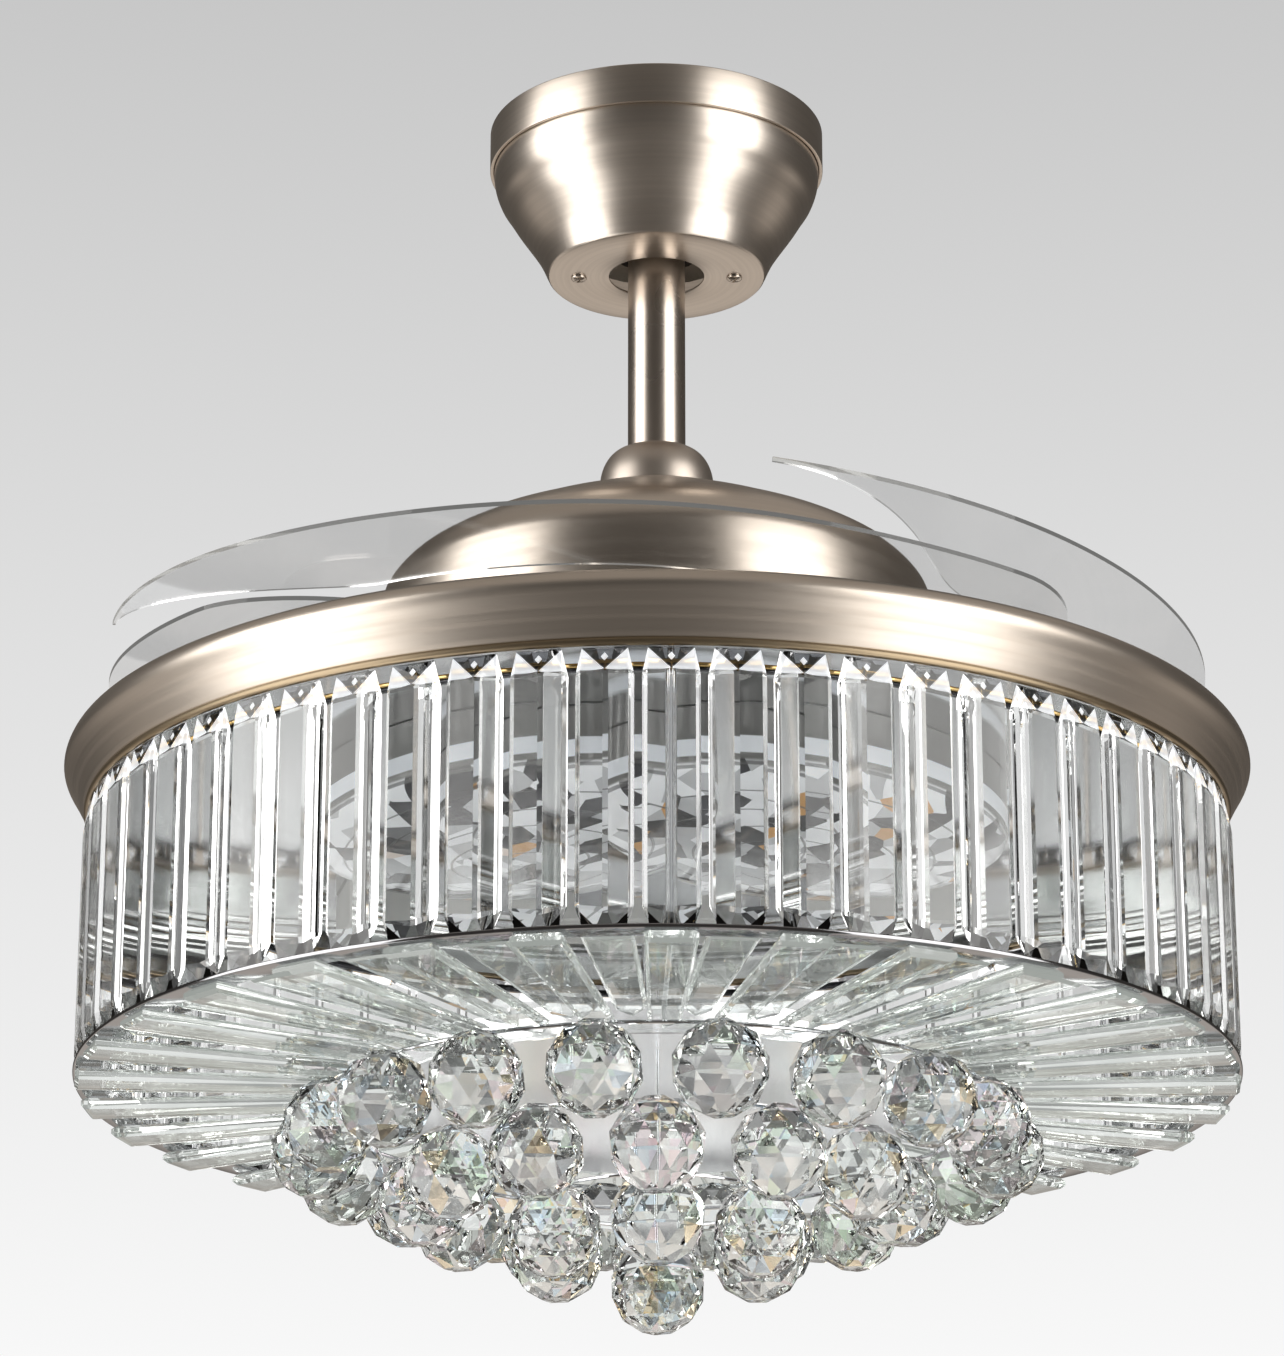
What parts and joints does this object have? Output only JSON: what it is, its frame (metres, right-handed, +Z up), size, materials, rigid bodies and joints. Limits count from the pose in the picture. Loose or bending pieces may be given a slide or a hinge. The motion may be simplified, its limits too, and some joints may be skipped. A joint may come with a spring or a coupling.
{
  "type": "chandelier ceiling fan",
  "caption": "Ceiling fan with folding clear blades above a round crystal shade of hanging prisms, radial bars and tiers of faceted balls, on a short satin nickel down-rod.",
  "frame": {"origin": "centre of the ceiling bracket's flat top face, where it meets the ceiling", "axes": "+Z up along the rod's axis towards the ceiling, +X to the right as the picture looks, +Y away from the viewer"},
  "size_m": [0.5186, 0.5186, 0.5595],
  "materials": {
    "nickel": "satin brushed nickel plate, fine brush lines round the axis",
    "zinc": "bright zinc plated steel",
    "chrome": "polished chrome plate",
    "brass": "polished brass wire",
    "aluminium": "cast aluminium, lightly machined",
    "core_steel": "stacked steel sheet",
    "copper": "enamelled copper wire",
    "magnet": "dark matt magnet",
    "nylon": "natural white nylon",
    "black_plastic": "black moulded plastic",
    "white_plastic": "white moulded plastic and board",
    "milky": "milky acrylic",
    "crystal": "clear cut crystal glass, polished facets",
    "clear_acrylic": "clear acrylic with polished edges"
  },
  "bodies": {
    "ceiling_mount": {"ceiling_bracket": "zinc", "canopy_cup": "nickel", "canopy_trim_ring": "nickel", "canopy_screw_1": "zinc", "canopy_screw_2": "zinc", "receiver_box": "white_plastic", "terminal_block": "black_plastic"},
    "ball_liner_ring": {"ball_liner": "nylon"},
    "pendant": {"hanger_ball": "black_plastic", "hanger_pin": "zinc", "down_rod": "nickel", "coupling_cover": "nickel", "rod_coupler": "aluminium", "coupler_bolt": "zinc", "coupler_nut": "zinc", "motor_shaft": "zinc", "shaft_nut": "zinc", "stator_core": "core_steel", "stator_winding_upper": "copper", "stator_winding_lower": "copper", "lamp_tray": "nickel", "led_heat_sink": "aluminium", "led_board": "white_plastic", "led_diffuser": "milky", "led_driver": "white_plastic", "crystal_frame": "brass", "prism_curtain": "crystal", "base_ring": "chrome", "upper_floor_bars": "crystal", "lower_floor_bars": "crystal", "ball_plate": "chrome", "ball_tier_1": "crystal", "ball_tier_2": "crystal", "ball_tier_3": "crystal", "ball_tier_4": "crystal"},
    "rotor": {"motor_cover": "nickel", "rotor_can": "aluminium", "rotor_end_cap": "aluminium", "magnet_ring": "magnet", "bearing_upper": "chrome", "bearing_lower": "chrome", "blade_carrier": "zinc", "gear_retainer": "zinc", "pivot_pin_1": "zinc", "pivot_pin_2": "zinc", "pivot_pin_3": "zinc", "pivot_pin_4": "zinc", "return_spring_1": "zinc", "return_spring_2": "zinc", "return_spring_3": "zinc", "return_spring_4": "zinc"},
    "sync": {"sync_gear": "nylon"},
    "blade_arm_1": {"blade_1": "clear_acrylic", "blade_hub_1": "black_plastic"},
    "blade_arm_2": {"blade_2": "clear_acrylic", "blade_hub_2": "black_plastic"},
    "blade_arm_3": {"blade_3": "clear_acrylic", "blade_hub_3": "black_plastic"},
    "blade_arm_4": {"blade_4": "clear_acrylic", "blade_hub_4": "black_plastic"}
  },
  "joints": [
    {"name": "swing_x", "type": "hinge", "parent": "ceiling_mount", "child": "ball_liner_ring", "pos_m": [0, 0, -0.042], "axis": [1, 0, 0], "range_deg": [-8, 8]},
    {"name": "swing_y", "type": "hinge", "parent": "ball_liner_ring", "child": "pendant", "pos_m": [0, 0, -0.042], "axis": [0, 1, 0], "range_deg": [-8, 8]},
    {"name": "rotor_spin", "type": "hinge", "parent": "pendant", "child": "rotor", "pos_m": [0, 0, -0.232], "axis": [0, 0, 1], "continuous": true},
    {"name": "blade_1_pivot", "type": "hinge", "parent": "rotor", "child": "blade_arm_1", "pos_m": [0.00698, 0.09976, -0.2683], "axis": [0, 0, 1], "range_deg": [0, 150], "stiffness_Nm_per_rad": 0.05, "springref_deg": -11.46},
    {"name": "blade_2_pivot", "type": "hinge", "parent": "rotor", "child": "blade_arm_2", "pos_m": [-0.09976, 0.00698, -0.2683], "axis": [0, 0, 1], "range_deg": [0, 150], "stiffness_Nm_per_rad": 0.05, "springref_deg": -11.46},
    {"name": "blade_3_pivot", "type": "hinge", "parent": "rotor", "child": "blade_arm_3", "pos_m": [-0.00698, -0.09976, -0.2683], "axis": [0, 0, 1], "range_deg": [0, 150], "stiffness_Nm_per_rad": 0.05, "springref_deg": -11.46},
    {"name": "blade_4_pivot", "type": "hinge", "parent": "rotor", "child": "blade_arm_4", "pos_m": [0.09976, -0.00698, -0.2683], "axis": [0, 0, 1], "range_deg": [0, 150], "stiffness_Nm_per_rad": 0.05, "springref_deg": -11.46},
    {"name": "sync_gear_turn", "type": "hinge", "parent": "rotor", "child": "sync", "pos_m": [0, 0, -0.2683], "axis": [0, 0, 1], "range_deg": [-37.5, 0]}
  ],
  "couplings": [
    {"joint": "blade_2_pivot", "follows": "blade_1_pivot", "ratio": 1},
    {"joint": "blade_3_pivot", "follows": "blade_1_pivot", "ratio": 1},
    {"joint": "blade_4_pivot", "follows": "blade_1_pivot", "ratio": 1},
    {"joint": "sync_gear_turn", "follows": "blade_1_pivot", "ratio": -0.25}
  ]
}
